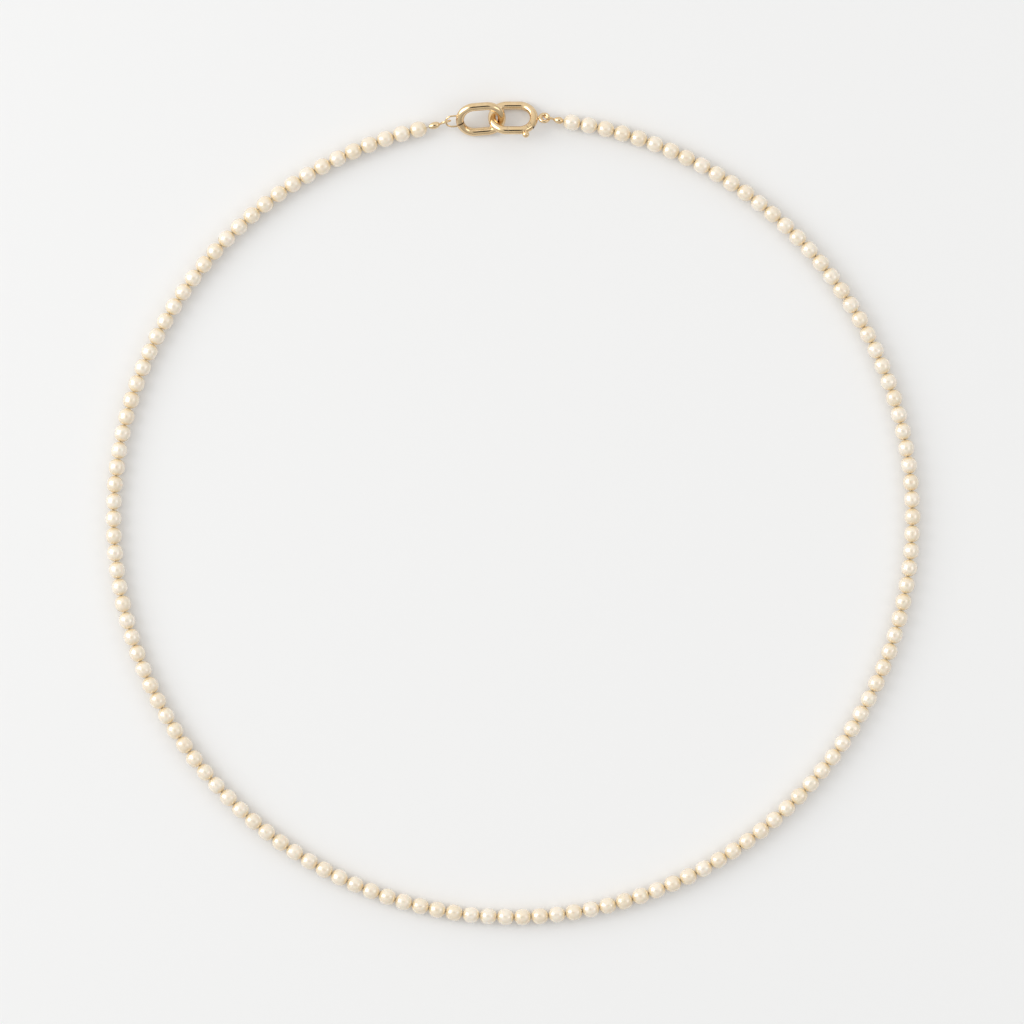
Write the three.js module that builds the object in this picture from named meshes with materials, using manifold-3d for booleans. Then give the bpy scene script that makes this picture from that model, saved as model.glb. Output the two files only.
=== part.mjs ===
// A pearl necklace laid in a circle: 138 small round pearls on a silk thread, held closed by
// two interlocked oval links. The right-hand link is the clasp: part of its lower bar is a
// sprung gate that swings inward on a rivet. The left-hand link is the plain one it hooks.
// Each end of the thread is knotted inside a clamshell bead tip, whose hook closes through
// an eye on the clasp or through a wire loop on the plain link.
//
// Millimetres and degrees. +Z is up from the table, +Y points from the loop's centre to the
// clasp, and +X is the viewer's right. The origin is the centre of the necklace's outline, on
// the table. Distances "along the strand" start at the clasp's centre and run clockwise.

import * as THREE from 'three';
import { mergeVertices } from 'three/addons/utils/BufferGeometryUtils.js';
import Module from 'manifold-3d';

const wasm = await Module();
wasm.setup();

// ---- Driving dimensions: pearls and thread -------------------------------------------------

const pearlCount = 138;
const pearlDiameter = 2.96;
const pearlGap = 0.04;
const pearlFlatLength = 0.9;
const pearlShoulder = { along: 1.08, radius: 1.0 };
const threadDiameter = 0.34;

const pearlsInEndRun = 2;
const pearlsInRun = 3;
const pearlsInLongRun = 4;
const runsBetweenEnds = 44;
const longRuns = [12, 36];

// ---- Driving dimensions: oval links --------------------------------------------------------

const linkLength = 8.73;
const linkWidth = 6.62;
const linkWire = 1.42;
const claspTilt = 30;
const anchorTilt = 38;
const linkSlack = 0.27;
const floorClearance = 0.02;
const cutMargin = 0.2;
const cutThrough = 2 * linkWire;

const seamAngle = 188;
const seamSlant = 12;
const seamWidth = 0.24;

// ---- Driving dimensions: gate of the clasp -------------------------------------------------

const gateTip = -0.9;
const gateTipLap = 0.2;
const gateGap = 0.06;
const pivotAngle = -42;
const cheekReach = 0.74;
const tongueThickness = 0.5;
const tongueRadius = 0.55;
const slotClearance = 0.06;
const pinDiameter = 0.42;
const pinClearance = 0.04;
const pinRecess = 0.02;

const springThickness = 0.11;
const springWidth = 0.4;
const springArc = 100;

const knobDiameter = 1.16;
const knobAngle = -71;
const knobStand = 0.35;

// ---- Driving dimensions: eye, wire loop and bead tips --------------------------------------

const eyeDiameter = 2.14;
const eyeWire = 0.56;
const solderGap = 0.03;

const loopWire = 0.32;
const loopWidth = 2.5;
const loopReach = 1.91;

const hookWire = 0.36;
const hookRadius = 0.78;
const hookOpening = 8;

const cupDiameter = 1.22;
const cupWall = 0.14;
const cupHole = 0.44;
const cupRings = [0.02, 0.16, 0.36, 0.64, 0.84];
const cupLengthRight = 1.86;
const cupLengthLeft = 2.0;
const hookToPearlRight = 2.565;
const hookToPearlLeft = 3.445;
const bareThreadRight = 0.04;
const bareThreadLeft = 0.43;
const knotDiameter = 0.5;
const knotRings = [-60, -25, 10];

// ---- Facet counts --------------------------------------------------------------------------

const pearlSides = 8;
const linkSides = 12;
const linkSteps = 30;
const wireSides = 8;
const roundSides = 20;
const loopSteps = 26;
const hookSteps = 30;
const hookTurn = 18;
const eyeSides = 10;
const eyeSteps = 20;
const knobSides = 12;
const knobRings = 8;
const springSteps = 10;
const cupSides = 10;

// ---- Worked-out sizes ----------------------------------------------------------------------

const rad = THREE.MathUtils.degToRad;
const pearlPitch = pearlDiameter + pearlGap;
const pearlHeight = pearlDiameter / 2;

const wireRadius = linkWire / 2;
const bendRadius = (linkWidth - linkWire) / 2;
const straightLength = linkLength - linkWire - 2 * bendRadius;
const claspHeight = bendRadius * Math.sin(rad(claspTilt)) + wireRadius + floorClearance;
const anchorHeight = bendRadius * Math.sin(rad(anchorTilt)) + wireRadius + floorClearance;
const linkPitch = linkLength - 2 * linkWire - linkSlack;

const eyeRing = (eyeDiameter - eyeWire) / 2;
const eyeCentre = linkLength / 2 + solderGap + eyeDiameter / 2;
const loopEnd = linkLength / 2 + loopReach - loopWire / 2;

const rightSpan = eyeCentre + eyeRing + hookToPearlRight;
const leftSpan = linkPitch + loopEnd + hookToPearlLeft;
const loopRadius = (pearlCount * pearlPitch + rightSpan + leftSpan) / (2 * Math.PI);

const pivot = new THREE.Vector2(
  straightLength / 2 + bendRadius * Math.cos(rad(pivotAngle)),
  bendRadius * Math.sin(rad(pivotAngle)),
);

// ---- Materials -----------------------------------------------------------------------------

const pearlNacre = new THREE.MeshStandardMaterial({ color: 0xf0e4d0, roughness: 0.25, metalness: 0 });
const goldPlate = new THREE.MeshStandardMaterial({ color: 0xd9b87c, roughness: 0.22, metalness: 1 });
const springSteel = new THREE.MeshStandardMaterial({ color: 0xb9bcc0, roughness: 0.35, metalness: 1 });
const silkThread = new THREE.MeshStandardMaterial({ color: 0xf3ead9, roughness: 0.8, metalness: 0 });

// ---- Helpers: places on the strand, meshes and solids --------------------------------------

// The point on the strand's circle at a distance along it, and the strand's heading there.
function stationAt(along) {
  const turn = along / loopRadius;
  const point = new THREE.Vector2(loopRadius * Math.sin(turn), loopRadius * Math.cos(turn));
  return { point, heading: -turn };
}

function namedMesh(name, geometry, material) {
  const mesh = new THREE.Mesh(geometry, material);
  mesh.name = name;
  return mesh;
}

// A closed three.js geometry as a manifold solid.
function solidFrom(geometry) {
  const bare = geometry.clone();
  bare.deleteAttribute('normal');
  bare.deleteAttribute('uv');
  const merged = mergeVertices(bare, 1e-5);
  const corners = merged.index.array;
  const triangles = [];
  for (let i = 0; i < corners.length; i += 3) {
    const [a, b, c] = [corners[i], corners[i + 1], corners[i + 2]];
    if (a !== b && b !== c && c !== a) {
      triangles.push(a, b, c);
    }
  }
  return new wasm.Manifold(new wasm.Mesh({
    numProp: 3,
    vertProperties: new Float32Array(merged.attributes.position.array),
    triVerts: new Uint32Array(triangles),
  }));
}

function geometryFrom(solid) {
  const mesh = solid.getMesh();
  const geometry = new THREE.BufferGeometry();
  geometry.setAttribute('position', new THREE.BufferAttribute(mesh.vertProperties, 3));
  geometry.setIndex(new THREE.BufferAttribute(mesh.triVerts, 1));
  geometry.computeVertexNormals();
  return geometry;
}

// A regular polygon with its corners at the given distance from the centre.
function roundSection(radius, sides) {
  const corners = [];
  for (let i = 0; i < sides; i += 1) {
    const turn = (2 * Math.PI * (i + 0.5)) / sides;
    corners.push(new THREE.Vector2(radius * Math.cos(turn), radius * Math.sin(turn)));
  }
  return new THREE.Shape(corners);
}

function wireAlong(path, diameter, steps) {
  return new THREE.ExtrudeGeometry(roundSection(diameter / 2, wireSides), {
    steps,
    extrudePath: path,
    bevelEnabled: false,
  });
}

// A round bar square to the link's plane, centred on that plane.
function barAcross(centre, radius, length) {
  const bar = new THREE.CylinderGeometry(radius, radius, length, roundSides);
  bar.rotateX(Math.PI / 2);
  bar.translate(centre.x, centre.y, 0);
  return bar;
}

// An outline in the link's plane, thickened equally to both sides of it.
function plateAcross(outline, thickness) {
  const plate = new THREE.ExtrudeGeometry(new THREE.Shape(outline), {
    depth: thickness,
    bevelEnabled: false,
  });
  plate.translate(0, 0, -thickness / 2);
  return plate;
}

// ---- Oval links ----------------------------------------------------------------------------

// A closed oval of round wire: a torus whose two halves are drawn apart by the straight bars.
function ovalRing(wire) {
  const ring = new THREE.TorusGeometry(bendRadius, wire / 2, linkSides, linkSteps);
  const position = ring.attributes.position;
  for (let i = 0; i < position.count; i += 1) {
    const x = position.getX(i);
    position.setX(i, x + (Math.sign(x) * straightLength) / 2);
  }
  return ring;
}

// A direction from the centre of a link's end bend; side is 1 for the right bend, -1 for the left.
function bendPoint(angle, radius, side) {
  return new THREE.Vector2(
    (side * straightLength) / 2 + radius * Math.cos(rad(angle)),
    radius * Math.sin(rad(angle)),
  );
}

// The plain link is bent from one wire, so a slanted seam shows where its ends meet.
function anchorLink() {
  const seam = new THREE.BoxGeometry(linkWire + cutThrough, seamWidth, cutThrough);
  seam.rotateZ(rad(seamAngle - 180 + seamSlant));
  const middle = bendPoint(seamAngle, bendRadius, -1);
  seam.translate(middle.x, middle.y, 0);
  const link = solidFrom(ovalRing(linkWire)).subtract(solidFrom(seam));
  return namedMesh('anchor_link', geometryFrom(link), goldPlate);
}

// The staple of thin wire soldered over the plain link's left end.
function anchorLoop() {
  const bend = (loopWidth - loopWire) / 2;
  const legEnd = -(straightLength / 2 + bendRadius);
  const bendCentre = -loopEnd + bend;
  const path = new THREE.CurvePath();
  path.add(new THREE.LineCurve3(
    new THREE.Vector3(legEnd, bend, 0),
    new THREE.Vector3(bendCentre, bend, 0),
  ));
  const turns = [];
  for (let angle = 90; angle <= 270; angle += 22.5) {
    turns.push(new THREE.Vector3(
      bendCentre + bend * Math.cos(rad(angle)),
      bend * Math.sin(rad(angle)),
      0,
    ));
  }
  path.add(new THREE.CatmullRomCurve3(turns));
  path.add(new THREE.LineCurve3(
    new THREE.Vector3(bendCentre, -bend, 0),
    new THREE.Vector3(legEnd, -bend, 0),
  ));
  const staple = solidFrom(wireAlong(path, loopWire, loopSteps));
  const link = solidFrom(ovalRing(linkWire + 2 * solderGap));
  return namedMesh('anchor_loop', geometryFrom(staple.subtract(link)), goldPlate);
}

// ---- Clasp ---------------------------------------------------------------------------------

// The part of the oval that the gate takes: from the slanted tip joint to the pivot.
function gateOutline(tipGap) {
  const inside = bendRadius - wireRadius - cutMargin;
  const outside = bendRadius + wireRadius + cutMargin;
  const corner = outside / Math.cos(rad(pivotAngle / 2));
  return [
    new THREE.Vector2(gateTip - gateTipLap + tipGap, -inside),
    new THREE.Vector2(gateTip + gateTipLap + tipGap, -outside),
    new THREE.Vector2(straightLength / 2, -outside),
    bendPoint((pivotAngle - 90) / 2, corner, 1),
    bendPoint(pivotAngle, outside, 1),
    bendPoint(pivotAngle, inside, 1),
    new THREE.Vector2(straightLength / 2, -inside),
  ];
}

// The clasp's frame: the oval without its gate, ending in two cheeks around a slot.
function claspBody() {
  const oval = solidFrom(ovalRing(linkWire));
  const slotThickness = tongueThickness + 2 * slotClearance;
  const slot = barAcross(pivot, cheekReach + gateGap, slotThickness);
  const pinHole = barAcross(pivot, pinDiameter / 2 + pinClearance, cutThrough);
  const cheeks = oval.intersect(solidFrom(barAcross(pivot, cheekReach, cutThrough)));
  const body = oval
    .subtract(solidFrom(plateAcross(gateOutline(-gateGap), cutThrough)))
    .add(cheeks)
    .subtract(solidFrom(slot))
    .subtract(solidFrom(pinHole));
  return namedMesh('clasp_body', geometryFrom(body), goldPlate);
}

// The gate: the same oval's lower bar, thinned to a tongue that turns between the cheeks.
function claspGate() {
  const gateSpan = solidFrom(plateAcross(gateOutline(0), cutThrough));
  const bar = solidFrom(ovalRing(linkWire)).intersect(gateSpan);
  const shoulder = solidFrom(barAcross(pivot, cheekReach + gateGap, cutThrough));
  const tongueLayer = solidFrom(barAcross(pivot, linkWire, tongueThickness));
  const tongueEnd = solidFrom(barAcross(pivot, tongueRadius, tongueThickness));
  const pinHole = solidFrom(barAcross(pivot, pinDiameter / 2 + pinClearance, cutThrough));
  const gate = bar
    .subtract(shoulder)
    .add(bar.intersect(tongueLayer))
    .add(tongueEnd)
    .subtract(pinHole);
  return namedMesh('clasp_gate', geometryFrom(gate), goldPlate);
}

function gatePin() {
  return namedMesh('gate_pin', barAcross(pivot, pinDiameter / 2, linkWire - 2 * pinRecess), goldPlate);
}

// A curved leaf behind the tongue, inside the slot, that presses the gate shut.
function gateSpring() {
  const outer = cheekReach + gateGap - slotClearance / 2;
  const inner = outer - springThickness;
  const middle = rad(pivotAngle + 90);
  const half = rad(springArc / 2);
  const leaf = new THREE.Shape();
  leaf.absarc(0, 0, outer, middle - half, middle + half, false);
  leaf.absarc(0, 0, inner, middle + half, middle - half, true);
  const geometry = new THREE.ExtrudeGeometry(leaf, {
    depth: springWidth,
    curveSegments: springSteps,
    bevelEnabled: false,
  });
  geometry.translate(pivot.x, pivot.y, -springWidth / 2);
  return namedMesh('gate_spring', geometry, springSteel);
}

// The little ball that a fingernail pulls to open the gate.
function gateKnob() {
  const ball = new THREE.SphereGeometry(knobDiameter / 2, knobSides, knobRings);
  const centre = bendPoint(knobAngle, bendRadius + wireRadius + knobStand, 1);
  ball.translate(centre.x, centre.y, 0);
  const seat = solidFrom(ovalRing(linkWire + 2 * solderGap));
  return namedMesh('gate_knob', geometryFrom(solidFrom(ball).subtract(seat)), goldPlate);
}

function claspEye() {
  const ring = new THREE.TorusGeometry(eyeRing, eyeWire / 2, eyeSides, eyeSteps);
  ring.translate(eyeCentre, 0, 0);
  return namedMesh('clasp_eye', ring, goldPlate);
}

// ---- Bead tips -----------------------------------------------------------------------------

// A bead tip in its own frame: the hook's centre is over the origin, the pearls lie towards +X.
// The hook stands upright at its link's height, and the cup lies at the pearls' height.
function beadTip(name, reach, ringHeight, cupLength, bareThread) {
  const cupStart = reach - bareThread - cupLength;
  const turns = [];
  for (let angle = -90; angle >= -360 + hookOpening; angle -= hookTurn) {
    turns.push(new THREE.Vector3(
      hookRadius * Math.cos(rad(angle)),
      0,
      ringHeight + hookRadius * Math.sin(rad(angle)),
    ));
  }
  const stem = [
    new THREE.Vector3(cupStart + cupWall, 0, pearlHeight),
    new THREE.Vector3((cupStart + cupWall) / 2, 0, (pearlHeight + ringHeight - hookRadius) / 2),
  ];
  const hook = wireAlong(new THREE.CatmullRomCurve3([...stem, ...turns]), hookWire, hookSteps);

  const outer = cupDiameter / 2;
  const inner = outer - cupWall;
  const profile = [new THREE.Vector2(0, 0)];
  for (const share of cupRings) {
    const rise = 2 * share - 1;
    profile.push(new THREE.Vector2(outer * Math.sqrt(1 - rise * rise), cupLength * share));
  }
  profile.push(new THREE.Vector2(cupHole / 2 + cupWall / 2, cupLength));
  profile.push(new THREE.Vector2(cupHole / 2, cupLength));
  const cavity = cupLength - 2 * cupWall;
  for (const share of cupRings.slice(1).reverse()) {
    const rise = 2 * share - 1;
    profile.push(new THREE.Vector2(inner * Math.sqrt(1 - rise * rise), cupWall + cavity * share));
  }
  profile.push(new THREE.Vector2(0, 1.5 * cupWall));
  const cup = new THREE.LatheGeometry(profile, cupSides);
  cup.rotateZ(-Math.PI / 2);
  cup.translate(cupStart, 0, pearlHeight);
  return namedMesh(name, geometryFrom(solidFrom(cup).add(solidFrom(hook))), goldPlate);
}

// The thread's end knot, a ball inside the cup, with its tail out to the first pearl.
function endKnot(name, reach, cupLength, bareThread) {
  const middle = reach - bareThread - cupLength / 2;
  const ball = knotDiameter / 2;
  const tail = threadDiameter / 2;
  const profile = [new THREE.Vector2(0, -ball)];
  for (const angle of knotRings) {
    profile.push(new THREE.Vector2(ball * Math.cos(rad(angle)), ball * Math.sin(rad(angle))));
  }
  const tailStart = Math.sqrt(ball * ball - tail * tail);
  const tailEnd = reach - middle - pearlGap / 2;
  profile.push(new THREE.Vector2(tail, tailStart));
  profile.push(new THREE.Vector2(tail, tailEnd));
  profile.push(new THREE.Vector2(0, tailEnd));
  const knot = new THREE.LatheGeometry(profile, wireSides);
  knot.rotateZ(-Math.PI / 2);
  knot.translate(middle, 0, pearlHeight);
  return namedMesh(name, knot, silkThread);
}

// ---- Pearls --------------------------------------------------------------------------------

// Lays a straight strand, whose X is the distance along it, onto the loop's circle.
function bendOntoLoop(geometry) {
  const position = geometry.attributes.position;
  for (let i = 0; i < position.count; i += 1) {
    const turn = position.getX(i) / loopRadius;
    const radius = loopRadius + position.getY(i);
    position.setXY(i, radius * Math.sin(turn), radius * Math.cos(turn));
  }
  return geometry;
}

// A run of pearls held together by the thread through them. Each pearl has flats all round,
// so that one of them lies on the table.
function pearlRun(name, firstPearl, pearls) {
  const cornerScale = 1 / Math.cos(Math.PI / pearlSides);
  const start = rightSpan + firstPearl * pearlPitch;
  const thread = threadDiameter / 2;
  const profile = [new THREE.Vector2(0, start + pearlGap / 2)];
  for (let i = 0; i < pearls; i += 1) {
    const middle = start + (i + 0.5) * pearlPitch;
    const rings = [
      [-pearlShoulder.along, pearlShoulder.radius],
      [-pearlFlatLength / 2, pearlDiameter / 2],
      [pearlFlatLength / 2, pearlDiameter / 2],
      [pearlShoulder.along, pearlShoulder.radius],
    ];
    const pole = i === 0 ? middle - pearlDiameter / 2 : middle - pearlPitch / 2;
    profile.push(new THREE.Vector2(thread, pole));
    for (const [along, radius] of rings) {
      profile.push(new THREE.Vector2(radius * cornerScale, middle + along));
    }
  }
  const end = start + pearls * pearlPitch - pearlGap / 2;
  profile.push(new THREE.Vector2(thread, end));
  profile.push(new THREE.Vector2(0, end));
  const run = new THREE.LatheGeometry(profile, pearlSides, Math.PI / pearlSides);
  run.rotateZ(-Math.PI / 2);
  run.translate(0, 0, pearlHeight);
  return namedMesh(name, bendOntoLoop(run), pearlNacre);
}

function pearlRuns() {
  const counts = [pearlsInEndRun];
  for (let run = 1; run <= runsBetweenEnds; run += 1) {
    counts.push(longRuns.includes(run) ? pearlsInLongRun : pearlsInRun);
  }
  counts.push(pearlsInEndRun);
  const group = new THREE.Group();
  let firstPearl = 0;
  counts.forEach((pearls, index) => {
    const number = String(index + 1).padStart(2, '0');
    group.add(pearlRun(`pearl_run_${number}`, firstPearl, pearls));
    firstPearl += pearls;
  });
  return group;
}

// ---- Assembly ------------------------------------------------------------------------------

// A link's frame: at a station, heading along the strand, and rolled about that heading.
function linkFrame(along, height, roll) {
  const { point, heading } = stationAt(along);
  const frame = new THREE.Group();
  frame.rotation.set(rad(roll), 0, heading, 'ZYX');
  frame.position.set(point.x, point.y, height);
  return frame;
}

// A bead tip's frame: from the wire that its hook holds to the end of the pearls.
function tipFrame(hookPoint, pearlEnd) {
  const towards = pearlEnd.clone().sub(hookPoint);
  const frame = new THREE.Group();
  frame.position.set(hookPoint.x, hookPoint.y, 0);
  frame.rotation.z = towards.angle();
  return { frame, reach: towards.length() };
}

// A point on a link's long axis, seen from above.
function pointInFrame(frame, along) {
  frame.updateMatrix();
  const point = new THREE.Vector3(along, 0, 0).applyMatrix4(frame.matrix);
  return new THREE.Vector2(point.x, point.y);
}

function necklace() {
  const whole = new THREE.Group();

  const clasp = linkFrame(0, claspHeight, -claspTilt);
  clasp.add(claspBody(), claspGate(), gatePin(), gateSpring(), gateKnob(), claspEye());

  const anchor = linkFrame(-linkPitch, anchorHeight, anchorTilt);
  anchor.add(anchorLink(), anchorLoop());

  const right = tipFrame(pointInFrame(clasp, eyeCentre + eyeRing), stationAt(rightSpan).point);
  right.frame.add(
    beadTip('bead_tip_right', right.reach, claspHeight, cupLengthRight, bareThreadRight),
    endKnot('end_knot_right', right.reach, cupLengthRight, bareThreadRight),
  );

  const left = tipFrame(pointInFrame(anchor, -loopEnd), stationAt(-leftSpan).point);
  left.frame.add(
    beadTip('bead_tip_left', left.reach, anchorHeight, cupLengthLeft, bareThreadLeft),
    endKnot('end_knot_left', left.reach, cupLengthLeft, bareThreadLeft),
  );

  whole.add(clasp, anchor, right.frame, left.frame, pearlRuns());

  const outline = new THREE.Box3().setFromObject(whole, true);
  const centre = outline.getCenter(new THREE.Vector3());
  whole.position.set(-centre.x, -centre.y, 0);
  return whole;
}

export default necklace();
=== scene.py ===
"""A necklace of 138 round pearls on silk, laid in a circle and closed by two interlocked gold links.

Shapes are worked out in millimetres, each in its own frame, and become metres when a piece is
placed. The X of every frame runs along the strand, clockwise seen from above, and Z is up.
"""

import math
import random

import bpy
from bpy.props import FloatProperty, FloatVectorProperty, IntProperty, PointerProperty, StringProperty
from mathutils import Matrix, Vector, noise


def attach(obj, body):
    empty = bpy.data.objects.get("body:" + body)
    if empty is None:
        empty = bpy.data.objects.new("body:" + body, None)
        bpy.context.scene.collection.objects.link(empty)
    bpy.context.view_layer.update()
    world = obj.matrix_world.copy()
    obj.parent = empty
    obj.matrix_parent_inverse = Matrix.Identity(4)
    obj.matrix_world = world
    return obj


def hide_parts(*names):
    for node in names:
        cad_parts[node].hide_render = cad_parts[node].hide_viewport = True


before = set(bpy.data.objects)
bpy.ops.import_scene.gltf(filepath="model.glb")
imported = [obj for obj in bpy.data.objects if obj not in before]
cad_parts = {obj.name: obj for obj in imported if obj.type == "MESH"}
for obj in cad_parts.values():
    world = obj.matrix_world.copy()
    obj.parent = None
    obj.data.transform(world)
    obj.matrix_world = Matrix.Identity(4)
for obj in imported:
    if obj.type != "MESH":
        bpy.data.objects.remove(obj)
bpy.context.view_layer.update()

bl_info = {
    "name": "Pearl necklace",
    "version": (1, 0, 0),
    "blender": (4, 5, 0),
    "location": "3D View > Sidebar > Necklace",
    "description": "Makes the pearls, thread, clasp and fittings of a pearl necklace, and its stage",
    "category": "Add Mesh",
}

MM = 0.001

# ---- Sizes that don't change with the settings, in millimetres and degrees ------------------

PEARLS_PER_RUN = [2] + [4 if run in (12, 36) else 3 for run in range(1, 45)] + [2]
RUN_BODIES = ["strand_end_right", *[f"run_{n:02d}" for n in range(2, 46)], "strand_end_left"]

# the circle's middle, a little in front of the middle of the whole necklace
STRAND_CENTRE_Y = -0.7359803
# along the circle, from the clasp's middle to the first pearl and from the last pearl back to it
RIGHT_SPAN = 8.82
LEFT_SPAN = 15.18

PEARL_RINGS = 30
PEARL_SIDES = 48
# the power in a superellipse: 2 is a ball, and more is fuller at the shoulders
PEARL_FULLNESS = 2.25
HOLE_LIP = 0.05

LINK_CLEARANCE = 0.02
INTERLOCK_PLAY = 0.27
SEAM_ANGLE = 188.0
SEAM_SLANT = 20.0
SEAM_WIDTH = 0.24
SOLDER_LAP = 0.01
SOLDER_DEPTH = 0.15

PIVOT_ANGLE = -42.0
GATE_TIP = -0.9
GATE_TIP_LAP = 0.2
GATE_GAP = 0.06
CHEEK_REACH = 0.74
TONGUE_THICKNESS = 0.5
TONGUE_RADIUS = 0.55
SLOT_CLEARANCE = 0.06
PIN_DIAMETER = 0.42
PIN_CLEARANCE = 0.04
PIN_INSET = 0.02
SPRING_THICKNESS = 0.11
SPRING_WIDTH = 0.4
SPRING_HALF_ARC = 50.0

KNOB_ANGLE = -71.0
KNOB_STAND = 0.35
# (along, radius) from the wire's skin outwards
KNOB_FOOT = ((-0.12, 0.0), (-0.12, 0.50), (0.0, 0.44), (0.06, 0.36))
KNOB_NECK = 0.09

EYE_OUT = 1.10
EYE_RING = 0.79
EYE_WIRE = 0.56
# how much thicker the eye's wire is beside the clasp, and how far that side is drawn in
EYE_THICKENING = 0.36
EYE_DRAWN_IN = 0.1
# (along, radius) from the clasp's right end
EYE_COLLAR = (
    (-0.3, 0), (-0.22, 0.44), (-0.03, 0.32), (0.03, 0.25), (0.12, 0.29), (0.25, 0.24), (0.3, 0))
LOOP_OUT = 1.75
LOOP_BEND = 1.09
LOOP_WIRE = 0.32

HOOK_RING = 0.78
CUP_WALL = 0.14
CUP_HOLE = 0.22
# side, length, share of the length at which it is widest, and bare thread before the pearls
CUPS = (("right", 1.86, 0.62, 0.04), ("left", 2.0, 0.5, 0.43))
KNOT_SIZE = 0.055
KNOT_STRAND = 0.18


# ---- Sizes and colours that a user may change ---------------------------------------------


class StrandSettings(bpy.types.PropertyGroup):
    """Sizes of the pearls and of the thread through them."""

    pearl_diameter: FloatProperty(
        name="Pearl diameter", description="Across the widest part, in mm",
        default=2.96, min=1.0, max=3.0)
    pearl_pitch: FloatProperty(
        name="Pearl pitch", description="From one pearl's middle to the next, in mm", default=3.0)
    hole_diameter: FloatProperty(
        name="Drill hole", description="Bore through each pearl, in mm", default=0.56)
    unevenness: FloatProperty(
        name="Unevenness", description="Most that a pearl's radius falls short of round",
        default=0.055, subtype="FACTOR", min=0.0, max=0.2)
    thread_diameter: FloatProperty(
        name="Thread", description="Across the twisted thread, in mm", default=0.34)
    seed: IntProperty(name="Seed", description="Chooses how the pearls differ", default=7)


class ClaspSettings(bpy.types.PropertyGroup):
    """Sizes of the two links and of the fittings between them and the pearls."""

    link_length: FloatProperty(name="Link length", description="Outside, in mm", default=8.73)
    link_width: FloatProperty(name="Link width", description="Outside, in mm", default=6.62)
    link_wire: FloatProperty(name="Link wire", description="Across the round wire, in mm", default=1.42)
    clasp_tilt: FloatProperty(
        name="Clasp tilt", description="Roll of the clasp about the strand",
        default=math.radians(30), subtype="ANGLE")
    anchor_tilt: FloatProperty(
        name="Plain link tilt", description="Roll of the plain link about the strand, the other way",
        default=math.radians(38), subtype="ANGLE")
    knob_diameter: FloatProperty(name="Knob", description="Across the gate's ball, in mm", default=1.16)
    hook_wire: FloatProperty(name="Hook wire", description="Across a bead tip's hook, in mm", default=0.36)
    cup_diameter: FloatProperty(name="Cup", description="Across a bead tip's cup, in mm", default=1.22)


class FinishSettings(bpy.types.PropertyGroup):
    """Colours, as sRGB hex values."""

    nacre_pale: StringProperty(name="Pale nacre", description="Lightest body colour", default="F6ECDB")
    nacre_cream: StringProperty(name="Cream nacre", description="Deeper body colour", default="EEDDBF")
    nacre_rose: StringProperty(name="Rose nacre", description="Faint overtone", default="F1DECB")
    # painted glow: a warm colour towards each drill hole that stands in for light passed between
    # neighbouring pearls
    nacre_painted_glow: StringProperty(name="Painted glow", description="Beside the drill holes", default="EFD5A6")
    gold: StringProperty(name="Gold", description="Pale yellow gold", default="EBD0A6")
    gold_deep: StringProperty(name="Worn gold", description="Gold in the hollows", default="D3AE7A")
    steel: StringProperty(name="Steel", description="The gate's leaf spring", default="B9BCC0")
    solder_dark: StringProperty(name="Dark solder", description="In the seam", default="2A1C10")
    solder_light: StringProperty(name="Light solder", description="In the seam", default="5A4024")
    silk: StringProperty(name="Silk", description="The thread", default="F1E6D2")
    floor: StringProperty(name="Floor", description="The surface it lies on", default="F0F0F0")
    room: StringProperty(name="Room", description="The pale room around it", default="FFFFFE")
    cloth: StringProperty(name="Cloth", description="The dark shape at the camera", default="202022")


class StageSettings(bpy.types.PropertyGroup):
    """Light and camera. Each light's power is in watts."""

    frame_width: FloatProperty(
        name="Frame width", description="Width seen by the camera, in mm", default=178.7)
    lens: FloatProperty(name="Lens", description="Focal length, in mm", default=180.0)
    aim: FloatVectorProperty(
        name="Aim", description="Where the camera looks, in mm", size=2, default=(-0.17, 0.24))
    key_power: FloatProperty(name="Key light", description="Softbox", default=1.5, unit="POWER")
    glow_power: FloatProperty(
        name="Window glow", description="Seen in reflections", default=3.6, unit="POWER")
    fill_power: FloatProperty(
        name="Fill light", description="Second softbox", default=0.42, unit="POWER")
    zenith: FloatProperty(
        name="Bright side", description="Strength of the pale room up and to the far left", default=1.02)
    horizon: FloatProperty(
        name="Dim side", description="Strength of the pale room at the near right wall", default=0.42)


def settings():
    return bpy.context.scene.necklace


# ---- Where things are ----------------------------------------------------------------------


def link_measures():
    """The sizes that follow from the clasp's settings, in millimetres."""
    clasp = settings().clasp
    wire = clasp.link_wire
    bend = (clasp.link_width - wire) / 2
    return {
        "wire": wire,
        "bend": bend,
        "straight": clasp.link_length - wire - 2 * bend,
        "clasp_height": bend * math.sin(clasp.clasp_tilt) + wire / 2 + LINK_CLEARANCE,
        "anchor_height": bend * math.sin(clasp.anchor_tilt) + wire / 2 + LINK_CLEARANCE,
        "pitch": clasp.link_length - 2 * wire - INTERLOCK_PLAY,
        "eye_centre": clasp.link_length / 2 + EYE_OUT,
        "loop_end": clasp.link_length / 2 + LOOP_OUT,
    }


def loop_radius():
    strand = settings().strand
    return (sum(PEARLS_PER_RUN) * strand.pearl_pitch + RIGHT_SPAN + LEFT_SPAN) / (2 * math.pi)


def station(along, height):
    """The frame at a distance along the strand from the clasp's middle, in millimetres."""
    radius = loop_radius()
    turn = along / radius
    place = Vector((radius * math.sin(turn), radius * math.cos(turn) + STRAND_CENTRE_Y, height))
    return Matrix.Translation(place) @ Matrix.Rotation(-turn, 4, "Z")


def clasp_frame():
    roll = Matrix.Rotation(-settings().clasp.clasp_tilt, 4, "X")
    return station(0.0, link_measures()["clasp_height"]) @ roll


def anchor_frame():
    measures = link_measures()
    roll = Matrix.Rotation(settings().clasp.anchor_tilt, 4, "X")
    return station(-measures["pitch"], measures["anchor_height"]) @ roll


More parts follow.
